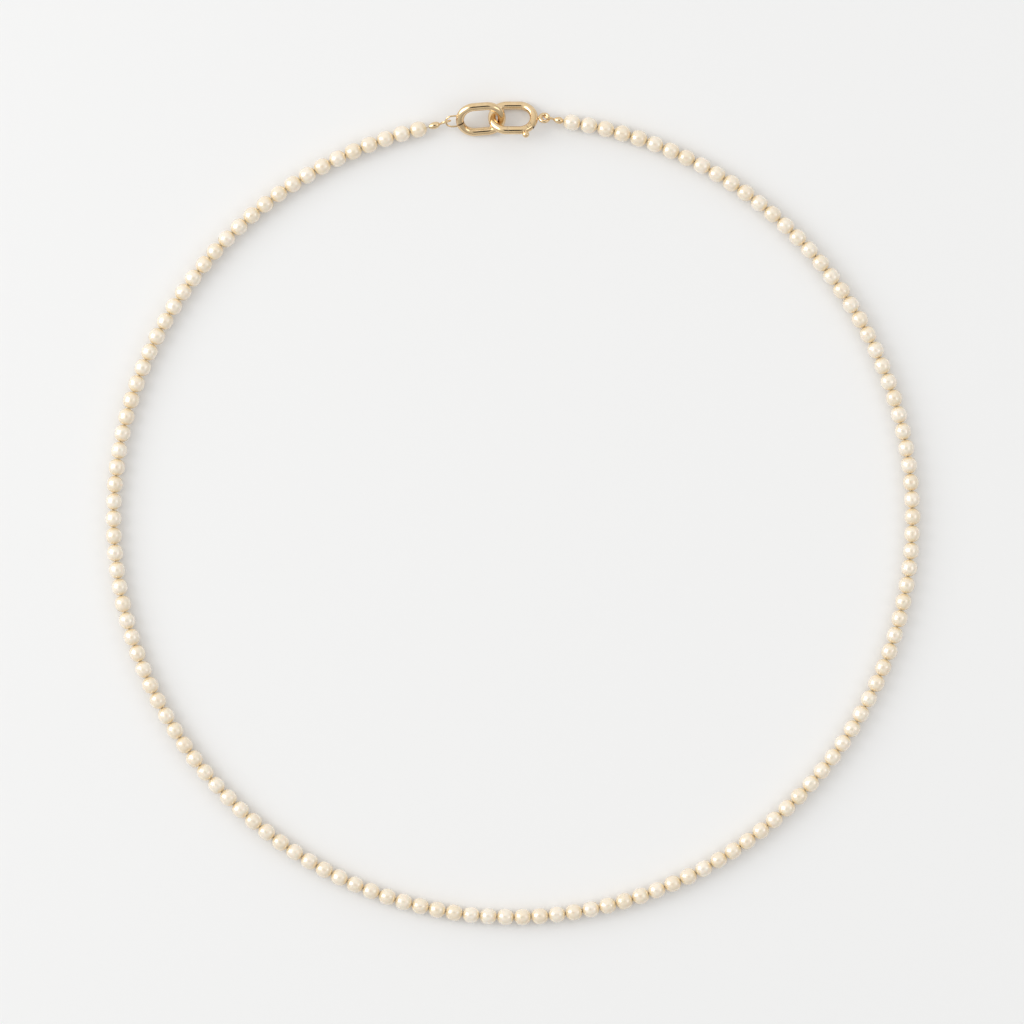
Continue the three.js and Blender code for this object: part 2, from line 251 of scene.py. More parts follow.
def tip_frame(side):
    """A bead tip's frame, from the wire its hook holds to the pearls, and the distance between."""
    measures = link_measures()
    if side == "right":
        hook = clasp_frame() @ Vector((measures["eye_centre"] + EYE_RING, 0, 0))
        end = station(RIGHT_SPAN, 0).translation
    else:
        hook = anchor_frame() @ Vector((-measures["loop_end"], 0, 0))
        end = station(-LEFT_SPAN, 0).translation
    towards = (end - hook).to_2d()
    heading = math.atan2(towards.y, towards.x)
    at_hook = Matrix.Translation((hook.x, hook.y, 0)) @ Matrix.Rotation(heading, 4, "Z")
    return at_hook, towards.length


# ---- Shapes, in millimetres ----------------------------------------------------------------


def mesh_from(name, vertices, faces):
    mesh = bpy.data.meshes.new(name)
    mesh.from_pydata([tuple(v) for v in vertices], [], faces)
    mesh.validate()
    mesh.update()
    return mesh


def joined(*parts):
    """Several (vertices, faces) as one."""
    vertices, faces = [], []
    for more_vertices, more_faces in parts:
        start = len(vertices)
        vertices.extend(more_vertices)
        faces.extend([tuple(i + start for i in face) for face in more_faces])
    return vertices, faces


def lathe(profile, sides, closed=False):
    """Turns (x, radius) points about X. A closed profile makes a ring; an open one starts and
    ends on the axis."""
    vertices, rings = [], []
    for x, radius in profile:
        if radius < 1e-9:
            rings.append([len(vertices)])
            vertices.append(Vector((x, 0, 0)))
            continue
        rings.append(list(range(len(vertices), len(vertices) + sides)))
        for k in range(sides):
            turn = 2 * math.pi * k / sides
            vertices.append(Vector((x, radius * math.cos(turn), radius * math.sin(turn))))
    faces = []
    pairs = list(zip(rings, rings[1:])) + ([(rings[-1], rings[0])] if closed else [])
    for here, there in pairs:
        for k in range(sides):
            nxt = (k + 1) % sides
            if len(here) == 1:
                faces.append((here[0], there[nxt], there[k]))
            elif len(there) == 1:
                faces.append((here[k], here[nxt], there[0]))
            else:
                faces.append((here[k], here[nxt], there[nxt], there[k]))
    return vertices, faces


def smooth_path(points, steps):
    """A Catmull-Rom curve through points, with that many steps from each to the next."""
    points = [Vector(p) for p in points]
    ends = [2 * points[0] - points[1], *points, 2 * points[-1] - points[-2]]
    path = []
    for before, start, end, after in zip(ends, ends[1:], ends[2:], ends[3:]):
        for step in range(steps):
            t = step / steps
            path.append(0.5 * (
                2 * start + (end - before) * t
                + (2 * before - 5 * start + 4 * end - after) * t ** 2
                + (3 * start - before - 3 * end + after) * t ** 3))
    return [*path, points[-1]]


def wire(path, radius, sides=16, closed=False, taper=()):
    """Round wire along a path. Open ends are rounded off. taper scales the radius at each point."""
    path = [Vector(p) for p in path]
    count = len(path)
    tangents = []
    for i in range(count):
        before = path[(i - 1) % count] if closed or i else path[0]
        after = path[(i + 1) % count] if closed or i < count - 1 else path[-1]
        tangents.append((after - before).normalized())
    up = Vector((0, 0, 1)) if abs(tangents[0].z) < 0.9 else Vector((0, 1, 0))
    side = tangents[0].cross(up).normalized()
    rings = []
    for i, (point, tangent) in enumerate(zip(path, tangents)):
        if i:
            side = (side - tangent * side.dot(tangent)).normalized()
        scale = taper[i] if taper else 1.0
        rings.append((point, tangent, side.copy(), radius * scale))
    if not closed:
        # (along, across) on a quarter circle, from the tip
        rounding = [(-0.97, 0.24), (-0.78, 0.63), (-0.42, 0.91)]
        first, last = rings[0], rings[-1]
        start = [(first[0] + first[1] * (along + 1) * first[3] * 0.5, *first[1:3], first[3] * across)
                 for along, across in rounding]
        end = [(last[0] - last[1] * (along + 1) * last[3] * 0.5, *last[1:3], last[3] * across)
               for along, across in reversed(rounding)]
        rings = start + rings[1:-1] + end
    vertices = []
    for point, tangent, across, size in rings:
        lift = tangent.cross(across)
        for k in range(sides):
            turn = 2 * math.pi * k / sides
            vertices.append(point + (across * math.cos(turn) + lift * math.sin(turn)) * size)
    faces = []
    total = len(rings)
    for i in range(total if closed else total - 1):
        for k in range(sides):
            here, there = i * sides, ((i + 1) % total) * sides
            nxt = (k + 1) % sides
            faces.append((here + k, here + nxt, there + nxt, there + k))
    if not closed:
        faces.append(tuple(reversed(range(sides))))
        faces.append(tuple(range((total - 1) * sides, total * sides)))
    return vertices, faces


def oval(wire_diameter, sides=44, steps=176):
    """A link: a ring of round wire whose halves are drawn apart by straight bars."""
    measures = link_measures()
    bend, straight = measures["bend"], measures["straight"]
    path = []
    for i in range(steps):
        turn = 2 * math.pi * (i + 0.5) / steps
        path.append((
            bend * math.cos(turn) + math.copysign(straight / 2, math.cos(turn)),
            bend * math.sin(turn),
            0.0))
    return wire(path, wire_diameter / 2, sides, closed=True)


def bend_point(angle, radius, side):
    """A point at an angle in degrees about the middle of a link's end bend."""
    turn = math.radians(angle)
    half = link_measures()["straight"] / 2
    return Vector((side * half + radius * math.cos(turn), radius * math.sin(turn), 0.0))


def upright_bar(centre, radius, length, sides=72):
    """A round bar along Z."""
    half = length / 2
    vertices, faces = lathe([(-half, 0), (-half, radius), (half, radius), (half, 0)], sides)
    turned = Matrix.Translation(centre) @ Matrix.Rotation(math.radians(-90), 4, "Y")
    return [turned @ v for v in vertices], faces


SQUARE = ((-1, -1), (1, -1), (1, 1), (-1, 1))


def plate(outline, thickness):
    """An outline in the link's plane, thickened equally to both sides."""
    count = len(outline)
    vertices = [Vector((p[0], p[1], z)) for z in (-thickness / 2, thickness / 2) for p in outline]
    faces = [tuple(reversed(range(count))), tuple(range(count, 2 * count))]
    for i in range(count):
        nxt = (i + 1) % count
        faces.append((i, nxt, nxt + count, i + count))
    return vertices, faces


def carve(solid, operation, tool):
    """solid less, with or within another solid, as (vertices, faces)."""
    made = []
    for part, label in ((solid, "solid"), (tool, "tool")):
        made.append(bpy.data.objects.new(label, mesh_from(label, *part)))
        bpy.context.scene.collection.objects.link(made[-1])
    cut = made[0].modifiers.new("carve", "BOOLEAN")
    cut.operation = operation
    cut.object = made[1]
    cut.solver = "EXACT"
    bpy.context.view_layer.update()
    result = made[0].evaluated_get(bpy.context.evaluated_depsgraph_get()).to_mesh()
    vertices = [v.co.copy() for v in result.vertices]
    faces = [tuple(p.vertices) for p in result.polygons]
    for scrap in made:
        mesh = scrap.data
        bpy.data.objects.remove(scrap)
        bpy.data.meshes.remove(mesh)
    return vertices, faces


def place(name, shape, matrix, body, slot, replaced, material, crease=40):
    """Puts a shape, given in millimetres in a frame of its own, on a body."""
    mesh = mesh_from(name, *shape)
    piece = bpy.data.objects.new(name, mesh)
    bpy.context.scene.collection.objects.link(piece)
    mesh.transform(Matrix.Scale(MM, 4))
    for polygon in mesh.polygons:
        polygon.use_smooth = True
    mesh.set_sharp_from_angle(angle=math.radians(crease))
    turn = matrix.to_3x3().to_4x4()
    piece.matrix_world = Matrix.Translation(matrix.translation * MM) @ turn
    mesh.materials.append(material)
    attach(piece, body)
    for node in replaced:
        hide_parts(node)
    return piece


# ---- Materials -----------------------------------------------------------------------------


def linear(hex_value):
    """An sRGB hex value as linear RGBA."""
    parts = [int(hex_value[i:i + 2], 16) / 255 for i in (0, 2, 4)]
    return (*[c / 12.92 if c <= 0.04045 else ((c + 0.055) / 1.055) ** 2.4 for c in parts], 1.0)


def add_node(tree, kind, options=None, inputs=None):
    """Adds a node, sets its options, and gives its inputs a value or a link each."""
    made = tree.nodes.new(kind)
    for name, value in (options or {}).items():
        setattr(made, name, value)
    for key, value in (inputs or {}).items():
        if isinstance(value, bpy.types.NodeSocket):
            tree.links.new(value, made.inputs[key])
        else:
            made.inputs[key].default_value = value
    return made


def surface(tree, shader):
    add_node(tree, "ShaderNodeOutputMaterial", None, {"Surface": shader.outputs[0]})


def grain(tree, place_in, size, detail):
    """Noise in lumps about that many millimetres across."""
    return add_node(tree, "ShaderNodeTexNoise", None, {
        "Vector": place_in, "Scale": 1 / (size * MM), "Detail": detail}).outputs["Fac"]


def new_material(name):
    made = bpy.data.materials.get(name)
    if made:
        return made, None
    made = bpy.data.materials.new(name)
    made.use_nodes = True
    made.node_tree.nodes.clear()
    return made, made.node_tree


def cultured_nacre():
    """Cultured nacre, tumbled smooth: layers of aragonite that let light in a little way, so it
    glows cream under a clear highlight with a softer one inside it, faintly rose in places."""
    made, tree = new_material("cultured_nacre")
    if not tree:
        return made
    finish = settings().finish
    place_in = add_node(tree, "ShaderNodeTexCoord").outputs["Object"]
    own = add_node(tree, "ShaderNodeAttribute", {"attribute_name": "pearl_own"})
    tone = add_node(tree, "ShaderNodeAttribute", {"attribute_name": "pearl_tone"})
    # cloudy patches about 1.5 mm across, where the layers are thicker
    clouds = add_node(tree, "ShaderNodeTexNoise", {"noise_dimensions": "4D"}, {
        "Vector": place_in, "W": own.outputs["Fac"], "Scale": 1 / (1.5 * MM), "Detail": 2.0})
    # growth marks in the skin, drawn 0.45 mm apart, coarser than real ones so that they show
    ripples = add_node(tree, "ShaderNodeTexNoise", {"noise_dimensions": "4D"}, {
        "Vector": place_in, "W": own.outputs["Fac"], "Scale": 1 / (0.45 * MM), "Detail": 3.0})
    depth = add_node(tree, "ShaderNodeMath", {"operation": "MULTIPLY_ADD", "use_clamp": True}, {
        0: clouds.outputs["Fac"], 1: 0.9, 2: tone.outputs["Fac"]})
    body = add_node(tree, "ShaderNodeMix", {"data_type": "RGBA"}, {
        0: depth.outputs[0], 6: linear(finish.nacre_pale), 7: linear(finish.nacre_cream)})
    blush = add_node(tree, "ShaderNodeMapRange", None, {
        "Value": ripples.outputs["Fac"], "From Min": 0.35, "From Max": 0.75, "To Max": 0.55})
    colour = add_node(tree, "ShaderNodeMix", {"data_type": "RGBA"}, {
        0: blush.outputs[0], 6: body.outputs[2], 7: linear(finish.nacre_rose)})
    # painted glow: warmer towards the drill holes, standing in for the light that neighbouring pearls pass
    # and reflect onto each other in the gaps
    parts = add_node(tree, "ShaderNodeSeparateXYZ", None, {0: place_in})
    from_middle = add_node(tree, "ShaderNodeMath", {"operation": "ABSOLUTE"}, {0: parts.outputs["X"]})
    painted_glow_share = add_node(tree, "ShaderNodeMapRange", {"interpolation_type": "SMOOTHSTEP"}, {
        "Value": from_middle.outputs[0], "From Min": 0.5 * MM, "From Max": 1.45 * MM, "To Max": 0.85})
    colour_with_painted_glow = add_node(tree, "ShaderNodeMix", {"data_type": "RGBA"}, {
        0: painted_glow_share.outputs[0], 6: colour.outputs[2], 7: linear(finish.nacre_painted_glow)})
    gloss = add_node(tree, "ShaderNodeMapRange", None, {
        "Value": clouds.outputs["Fac"], "From Min": 0.3, "From Max": 0.7, "To Min": 0.18, "To Max": 0.28})
    skin = add_node(tree, "ShaderNodeBump", None, {
        "Height": ripples.outputs["Fac"], "Strength": 0.1, "Distance": 0.01 * MM})
    # each layer reflects a little more, so the level is above 0.5, what one skin of this IOR gives
    shader = add_node(tree, "ShaderNodeBsdfPrincipled", {"subsurface_method": "RANDOM_WALK"}, {
        "Base Color": colour_with_painted_glow.outputs[2], "Roughness": gloss.outputs[0], "Normal": skin.outputs[0],
        "IOR": 1.6, "Specular IOR Level": 0.9, "Subsurface Weight": 0.2,
        "Subsurface Radius": (1.0, 0.8, 0.6), "Subsurface Scale": 0.9 * MM,
        "Coat Weight": 1.0, "Coat Roughness": 0.04, "Coat IOR": 1.7})
    surface(tree, shader)
    return made


def tumbled_gold_plate():
    """Gold plate over brass wire, tumbled after soldering: a warm metal with a broad soft
    highlight, crossed by fine rubs along the wire, and slightly duller in patches."""
    made, tree = new_material("tumbled_gold_plate")
    if not tree:
        return made
    finish = settings().finish
    place_in = add_node(tree, "ShaderNodeTexCoord").outputs["Object"]
    # rubs run along the links' length: real ones are 0.01 mm wide, drawn at 0.06 mm
    stretched = add_node(tree, "ShaderNodeVectorMath", {"operation": "MULTIPLY"}, {
        0: place_in, 1: (0.12, 1.0, 1.0)})
    rubs = grain(tree, stretched.outputs[0], 0.06, 4.0)
    # plating that varies over about 1.2 mm
    patches = grain(tree, place_in, 1.2, 3.0)
    worn = add_node(tree, "ShaderNodeMapRange", None, {
        "Value": patches, "From Min": 0.3, "From Max": 0.8, "To Max": 0.45})
    colour = add_node(tree, "ShaderNodeMix", {"data_type": "RGBA"}, {
        0: worn.outputs[0], 6: linear(finish.gold), 7: linear(finish.gold_deep)})
    gloss = add_node(tree, "ShaderNodeMapRange", None, {
        "Value": rubs, "From Min": 0.3, "From Max": 0.7, "To Min": 0.09, "To Max": 0.17})
    skin = add_node(tree, "ShaderNodeBump", None, {
        "Height": rubs, "Strength": 0.25, "Distance": 0.004 * MM})
    shader = add_node(tree, "ShaderNodeBsdfPrincipled", None, {
        "Base Color": colour.outputs[2], "Metallic": 1.0, "Roughness": gloss.outputs[0],
        "Normal": skin.outputs[0]})
    surface(tree, shader)
    return made


def oxidised_solder():
    """Hard solder left in a joint after firing: a dull, grainy, brown-black metal."""
    made, tree = new_material("oxidised_solder")
    if not tree:
        return made
    finish = settings().finish
    place_in = add_node(tree, "ShaderNodeTexCoord").outputs["Object"]
    # grains 0.05 mm across
    grains = grain(tree, place_in, 0.05, 3.0)
    shade = add_node(tree, "ShaderNodeMix", {"data_type": "RGBA"}, {
        0: grains, 6: linear(finish.solder_dark), 7: linear(finish.solder_light)})
    skin = add_node(tree, "ShaderNodeBump", None, {
        "Height": grains, "Strength": 0.5, "Distance": 0.01 * MM})
    shader = add_node(tree, "ShaderNodeBsdfPrincipled", None, {
        "Base Color": shade.outputs[2], "Metallic": 1.0, "Roughness": 0.6, "Normal": skin.outputs[0]})
    surface(tree, shader)
    return made


def rolled_spring_steel():
    """Spring steel, cold rolled: a grey metal with fine lines along the strip."""
    made, tree = new_material("rolled_spring_steel")
    if not tree:
        return made
    place_in = add_node(tree, "ShaderNodeTexCoord").outputs["Object"]
    # rolling lines 0.02 mm apart, drawn at 0.04 mm
    lines = grain(tree, place_in, 0.04, 3.0)
    gloss = add_node(tree, "ShaderNodeMapRange", None, {
        "Value": lines, "To Min": 0.25, "To Max": 0.45})
    skin = add_node(tree, "ShaderNodeBump", None, {
        "Height": lines, "Strength": 0.3, "Distance": 0.003 * MM})
    shader = add_node(tree, "ShaderNodeBsdfPrincipled", None, {
        "Base Color": linear(settings().finish.steel), "Metallic": 1.0,
        "Roughness": gloss.outputs[0], "Normal": skin.outputs[0]})
    surface(tree, shader)
    return made


def twisted_silk():
    """Silk, three plies twisted: soft white fibre with a low sheen."""
    made, tree = new_material("twisted_silk")
    if not tree:
        return made
    place_in = add_node(tree, "ShaderNodeTexCoord").outputs["Object"]
    # filaments 0.015 mm across, drawn at 0.04 mm
    fibres = grain(tree, place_in, 0.04, 4.0)
    shade = add_node(tree, "ShaderNodeMapRange", None, {
        "Value": fibres, "To Min": 0.75, "To Max": 1.0})
    colour = add_node(tree, "ShaderNodeMix", {"data_type": "RGBA", "blend_type": "MULTIPLY"}, {
        0: 1.0, 6: linear(settings().finish.silk), 7: shade.outputs[0]})
    skin = add_node(tree, "ShaderNodeBump", None, {
        "Height": fibres, "Strength": 0.5, "Distance": 0.01 * MM})
    shader = add_node(tree, "ShaderNodeBsdfPrincipled", None, {
        "Base Color": colour.outputs[2], "Roughness": 0.62, "Normal": skin.outputs[0],
        "IOR": 1.54, "Sheen Weight": 0.35, "Sheen Roughness": 0.4})
    surface(tree, shader)
    return made


def matt_board():
    """Painted board, rolled: a pale, almost white surface with no gloss."""
    made, tree = new_material("matt_board")
    if not tree:
        return made
    place_in = add_node(tree, "ShaderNodeTexCoord").outputs["Object"]
    # roller stipple about 0.6 mm across
    stipple = grain(tree, place_in, 0.6, 2.0)
    skin = add_node(tree, "ShaderNodeBump", None, {
        "Height": stipple, "Strength": 0.05, "Distance": 0.02 * MM})
    shader = add_node(tree, "ShaderNodeBsdfPrincipled", None, {
        "Base Color": linear(settings().finish.floor), "Roughness": 0.85, "Normal": skin.outputs[0],
        "Specular IOR Level": 0.2})
    surface(tree, shader)
    return made


def black_cloth():
    """Cotton cloth, dyed black: dark and without gloss."""
    made, tree = new_material("black_cloth")
    if not tree:
        return made
    shader = add_node(tree, "ShaderNodeBsdfPrincipled", None, {
        "Base Color": linear(settings().finish.cloth), "Roughness": 0.9})
    surface(tree, shader)
    return made


# ---- Pearls and thread ---------------------------------------------------------------------


def pearl_shape(index, diameter, hole, unevenness):
    """One pearl about its own middle, drilled along X, slightly uneven in a way of its own."""
    radius, bore, lip = diameter / 2, hole / 2, HOLE_LIP
    first = math.asin((bore + lip) / radius)
    outside = []
    for step in range(PEARL_RINGS + 1):
        turn = first + (math.pi - 2 * first) * step / PEARL_RINGS
        power = PEARL_FULLNESS
        fullness = (abs(math.cos(turn)) ** power + math.sin(turn) ** power) ** (-1 / power)
        outside.append((-radius * fullness * math.cos(turn), radius * fullness * math.sin(turn)))
    end = outside[-1][0]
    inside = [(end - 0.2 * lip, bore + 0.3 * lip), (end - lip, bore)]
    bore_steps = 6
    for step in range(1, bore_steps):
        inside.append(((end - lip) * (1 - 2 * step / bore_steps), bore))
    inside += [(lip - end, bore), (0.2 * lip - end, bore + 0.3 * lip)]
    vertices, faces = lathe(outside + inside, PEARL_SIDES, closed=True)

    own = random.Random(settings().strand.seed * 1000 + index)
    offset = Vector([own.uniform(-50, 50) for _ in range(3)])
    squash = Matrix.Diagonal((1.0, *[1 - 0.5 * unevenness * own.random() for _ in range(2)]))
    roll = Matrix.Rotation(own.uniform(0, math.pi), 3, "X")
    shaped = []
    for vertex in vertices:
        direction = vertex.normalized()
        # broad flats and hollows, with smaller ones over them, fading out beside the hole
        swell = noise.noise(direction * 1.1 + offset) + 0.35 * noise.noise(direction * 2.6 - offset)
        loss = unevenness * min(max(0.5 - 0.6 * swell, 0.0), 1.0)
        from_axis = math.hypot(vertex.y, vertex.z)
        share = min(max((from_axis - bore - lip) / (0.35 * radius), 0.0), 1.0)
        keep = 1 - loss * share
        across = roll @ (squash @ (roll.inverted() @ Vector((0, vertex.y, vertex.z))))
        y = vertex.y + (across.y - vertex.y) * share
        z = vertex.z + (across.z - vertex.z) * share
        shaped.append(Vector((vertex.x * keep, y * keep, z * keep)))
    return (shaped, faces), own


def ply(start, end, offset, diameter, turns, steps):
    """One strand of a three-ply twist between two points in the strand's own frame."""
    path = []
    for step in range(steps + 1):
        share = step / steps
        turn = 2 * math.pi * (offset + turns * share)
        middle = Vector(start).lerp(Vector(end), share)
        path.append(middle + Vector((0, math.cos(turn), math.sin(turn))) * diameter * 0.265)
    return wire(path, diameter * 0.235, 6)


def twisted(start, end, diameter, per_mm=9):
    """Three plies twisted once a millimetre, from start to end along X."""
    length = (Vector(end) - Vector(start)).length
    steps = max(4, round(length * per_mm))
    return joined(*[ply(start, end, third / 3, diameter, length, steps) for third in range(3)])


class NECKLACE_OT_pearls(bpy.types.Operator):
    """Makes the pearls, each drilled and slightly uneven"""

    bl_idname = "necklace.pearls"
    bl_label = "Pearls"

    def execute(self, context):
        strand = settings().strand
        material = cultured_nacre()
        index = 0
        for run, count in enumerate(PEARLS_PER_RUN, 1):
            for _ in range(count):
                shape, own = pearl_shape(
                    index, strand.pearl_diameter, strand.hole_diameter, strand.unevenness)
                along = RIGHT_SPAN + (index + 0.5) * strand.pearl_pitch
                matrix = station(along, strand.pearl_diameter / 2)
                piece = place(
                    f"pearl_{index + 1:03d}", shape, matrix, RUN_BODIES[run - 1], "pearl_nacre",
                    [f"pearl_run_{run:02d}"], material, crease=60)
                own_value, tone = own.uniform(0, 100), own.uniform(-0.35, 0.35)
                for name, value in (("pearl_own", own_value), ("pearl_tone", tone)):
                    layer = piece.data.attributes.new(name, "FLOAT", "POINT")
                    layer.data.foreach_set("value", [value] * len(piece.data.vertices))
                index += 1
        return {"FINISHED"}


class NECKLACE_OT_thread(bpy.types.Operator):
    """Makes the silk thread, in a length for each run of pearls"""

    bl_idname = "necklace.thread"
    bl_label = "Thread"

    def execute(self, context):
        strand = settings().strand
        material = twisted_silk()
        radius = loop_radius()
        first = 0
        for run, count in enumerate(PEARLS_PER_RUN, 1):
            length = count * strand.pearl_pitch
            middle = RIGHT_SPAN + (first + count / 2) * strand.pearl_pitch
            vertices, faces = twisted((-length / 2, 0, 0), (length / 2, 0, 0), strand.thread_diameter)
            bent = []
            for vertex in vertices:
                turn = vertex.x / radius
                reach = radius + vertex.y
                bent.append(Vector((reach * math.sin(turn), reach * math.cos(turn) - radius, vertex.z)))
            place(
                f"thread_{run:02d}", (bent, faces), station(middle, strand.pearl_diameter / 2),
                RUN_BODIES[run - 1], "silk_thread", [f"pearl_run_{run:02d}"], material)
            first += count
        return {"FINISHED"}


# ---- Links and gate ------------------------------------------------------------------------


def pivot():
    return bend_point(PIVOT_ANGLE, link_measures()["bend"], 1)


def rivet_hole(wire_diameter):
    return upright_bar(pivot(), PIN_DIAMETER / 2 + PIN_CLEARANCE, 2 * wire_diameter)


def seam(wire_diameter, half_width):
    """A slanted slab through the plain link's left end, where the ends of its wire meet."""
    middle = bend_point(SEAM_ANGLE, link_measures()["bend"], -1)
    turned = Matrix.Rotation(math.radians(SEAM_SLANT), 3, "Z")
    corners = [(x * 1.5 * wire_diameter, y * half_width, 0) for x, y in SQUARE]
    return plate([middle + turned @ Vector(corner) for corner in corners], 2 * wire_diameter)


def gate_outline(tip_gap):
    """The part of the oval that the gate takes, from its slanted tip to the pivot."""
    measures = link_measures()
    bend, half_wire, straight = measures["bend"], measures["wire"] / 2, measures["straight"]
    margin = 0.2
    reach = 1.6 * measures["wire"]
    return [
        (GATE_TIP - GATE_TIP_LAP + tip_gap, -bend + half_wire + margin),
        (GATE_TIP + GATE_TIP_LAP + tip_gap, -bend - half_wire - margin),
        (straight / 2, -bend - reach),
        bend_point(PIVOT_ANGLE, bend + reach, 1),
        bend_point(PIVOT_ANGLE, bend - half_wire - margin, 1),
        (straight / 2, -bend + half_wire + margin),
    ]


class NECKLACE_OT_links(bpy.types.Operator):
    """Makes the plain link and the clasp's body, both bent from round wire"""

    bl_idname = "necklace.links"
    bl_label = "Links"

    def execute(self, context):
        wire_diameter = link_measures()["wire"]
        material = tumbled_gold_plate()

        slot = upright_bar(pivot(), CHEEK_REACH + GATE_GAP, TONGUE_THICKNESS + 2 * SLOT_CLEARANCE)
        cheeks = upright_bar(pivot(), CHEEK_REACH, 3 * wire_diameter)
        opening = carve(plate(gate_outline(-GATE_GAP), 2 * wire_diameter), "DIFFERENCE", cheeks)
        body = carve(oval(wire_diameter), "DIFFERENCE", opening)
        body = carve(body, "DIFFERENCE", slot)
        body = carve(body, "DIFFERENCE", rivet_hole(wire_diameter))
        place("clasp_body_fine", body, clasp_frame(), "clasp", "gold_plate", ["clasp_body"], material)

        link = carve(oval(wire_diameter), "DIFFERENCE", seam(wire_diameter, SEAM_WIDTH / 2))
        place(
            "anchor_link_fine", link, anchor_frame(), "anchor", "gold_plate", ["anchor_link"],
            material)
        solder = carve(
            oval(wire_diameter - 2 * SOLDER_DEPTH), "INTERSECT",
            seam(wire_diameter, SEAM_WIDTH / 2 + SOLDER_LAP))
        place(
            "anchor_seam_solder", solder, anchor_frame(), "anchor", "gold_plate", ["anchor_link"],
            oxidised_solder())
        return {"FINISHED"}


class NECKLACE_OT_gate(bpy.types.Operator):
    """Makes the clasp's gate with its tongue, knob, rivet and leaf spring"""

    bl_idname = "necklace.gate"
    bl_label = "Gate"

    def execute(self, context):
        measures = link_measures()
        wire_diameter = measures["wire"]
        material = tumbled_gold_plate()
        bar = carve(oval(wire_diameter), "INTERSECT", plate(gate_outline(0.0), 2 * wire_diameter))
        blank = carve(bar, "UNION", upright_bar(pivot(), TONGUE_RADIUS, 2 * TONGUE_THICKNESS))
        shoulder = upright_bar(pivot(), CHEEK_REACH + GATE_GAP, 2 * wire_diameter)
        tongue = upright_bar(pivot(), 2 * wire_diameter, TONGUE_THICKNESS)
        gate = carve(blank, "DIFFERENCE", carve(shoulder, "DIFFERENCE", tongue))
        gate = carve(gate, "DIFFERENCE", rivet_hole(wire_diameter))
        place("clasp_gate_fine", gate, clasp_frame(), "gate", "gold_plate", ["clasp_gate"], material)

        radius = settings().clasp.knob_diameter / 2
        ball_steps = 24
        ball = []
        for step in range(1, ball_steps):
            turn = math.pi * step / ball_steps
            ball.append((KNOB_STAND - radius * math.cos(turn), radius * math.sin(turn)))
        above_foot = [point for point in ball if point[0] > KNOB_NECK]
        profile = [*KNOB_FOOT, *above_foot, (KNOB_STAND + radius, 0.0)]
        seat = bend_point(KNOB_ANGLE, measures["bend"] + wire_diameter / 2, 1)
        outwards = Matrix.Rotation(math.radians(KNOB_ANGLE), 4, "Z")
        place(
            "gate_knob_fine", lathe(profile, 48), clasp_frame() @ Matrix.Translation(seat) @ outwards,
            "gate", "gold_plate", ["gate_knob"], material)

        half = wire_diameter / 2 - PIN_INSET
        head = [(0, 0), (0.01, 0.12), (0.05, PIN_DIAMETER / 2)]
        profile = [(-half + along, across) for along, across in head]
        profile += [(half - along, across) for along, across in reversed(head)]
        upright = Matrix.Translation(pivot()) @ Matrix.Rotation(math.radians(-90), 4, "Y")
        place(
            "gate_pin_fine", lathe(profile, 40), clasp_frame() @ upright, "clasp", "gold_plate",
            ["gate_pin"], material)

        outer = CHEEK_REACH + GATE_GAP - SLOT_CLEARANCE / 2
        inner = outer - SPRING_THICKNESS
        middle, half_arc, steps = math.radians(PIVOT_ANGLE + 90), math.radians(SPRING_HALF_ARC), 40
        arc = [middle - half_arc + 2 * half_arc * step / steps for step in range(steps + 1)]
        outline = [(outer * math.cos(a), outer * math.sin(a)) for a in arc]
        outline += [(inner * math.cos(a), inner * math.sin(a)) for a in reversed(arc)]
        place(
            "gate_spring_fine", plate(outline, SPRING_WIDTH),
            clasp_frame() @ Matrix.Translation(pivot()), "clasp", "spring_steel", ["gate_spring"],
            rolled_spring_steel())
        return {"FINISHED"}


# ---- Eye, wire loop, bead tips and knots ---------------------------------------------------


class NECKLACE_OT_fittings(bpy.types.Operator):
    """Makes the clasp's eye and the plain link's wire loop, with the solder that holds them"""

    bl_idname = "necklace.fittings"
    bl_label = "Eye and wire loop"

    def execute(self, context):
        measures = link_measures()
        material = tumbled_gold_plate()
        centre = measures["eye_centre"]
        steps = 80
        path, taper = [], []
        for k in range(steps):
            turn = 2 * math.pi * k / steps
            towards_link = ((1 - math.cos(turn)) / 2) ** 3
            reach = EYE_RING - EYE_DRAWN_IN * towards_link
            path.append((centre + reach * math.cos(turn), reach * math.sin(turn), 0))
            taper.append(1 + EYE_THICKENING * towards_link)
        eye = wire(path, EYE_WIRE / 2, 24, closed=True, taper=taper)
        place("clasp_eye_fine", eye, clasp_frame(), "clasp", "gold_plate", ["clasp_eye"], material)
        link_end = settings().clasp.link_length / 2
        collar = [(link_end + along, across) for along, across in EYE_COLLAR]
        place(
            "eye_solder", lathe(collar, 32), clasp_frame(), "clasp", "gold_plate", ["clasp_eye"],
            material)

        leg_end = -(measures["straight"] / 2 + measures["bend"])
        bend_centre = -measures["loop_end"] + LOOP_BEND
        leg_steps, bend_steps = 8, 40
        path = []
        for k in range(leg_steps):
            path.append((leg_end + (bend_centre - leg_end) * k / leg_steps, LOOP_BEND, 0))
        for k in range(bend_steps + 1):
            turn = math.radians(90 + 180 * k / bend_steps)
            path.append((bend_centre + LOOP_BEND * math.cos(turn), LOOP_BEND * math.sin(turn), 0))
        for k in range(1, leg_steps + 1):
            path.append((bend_centre + (leg_end - bend_centre) * k / leg_steps, -LOOP_BEND, 0))
        place(
            "anchor_loop_fine", wire(path, LOOP_WIRE / 2, 16), anchor_frame(), "anchor", "gold_plate",
            ["anchor_loop"], material)
        return {"FINISHED"}


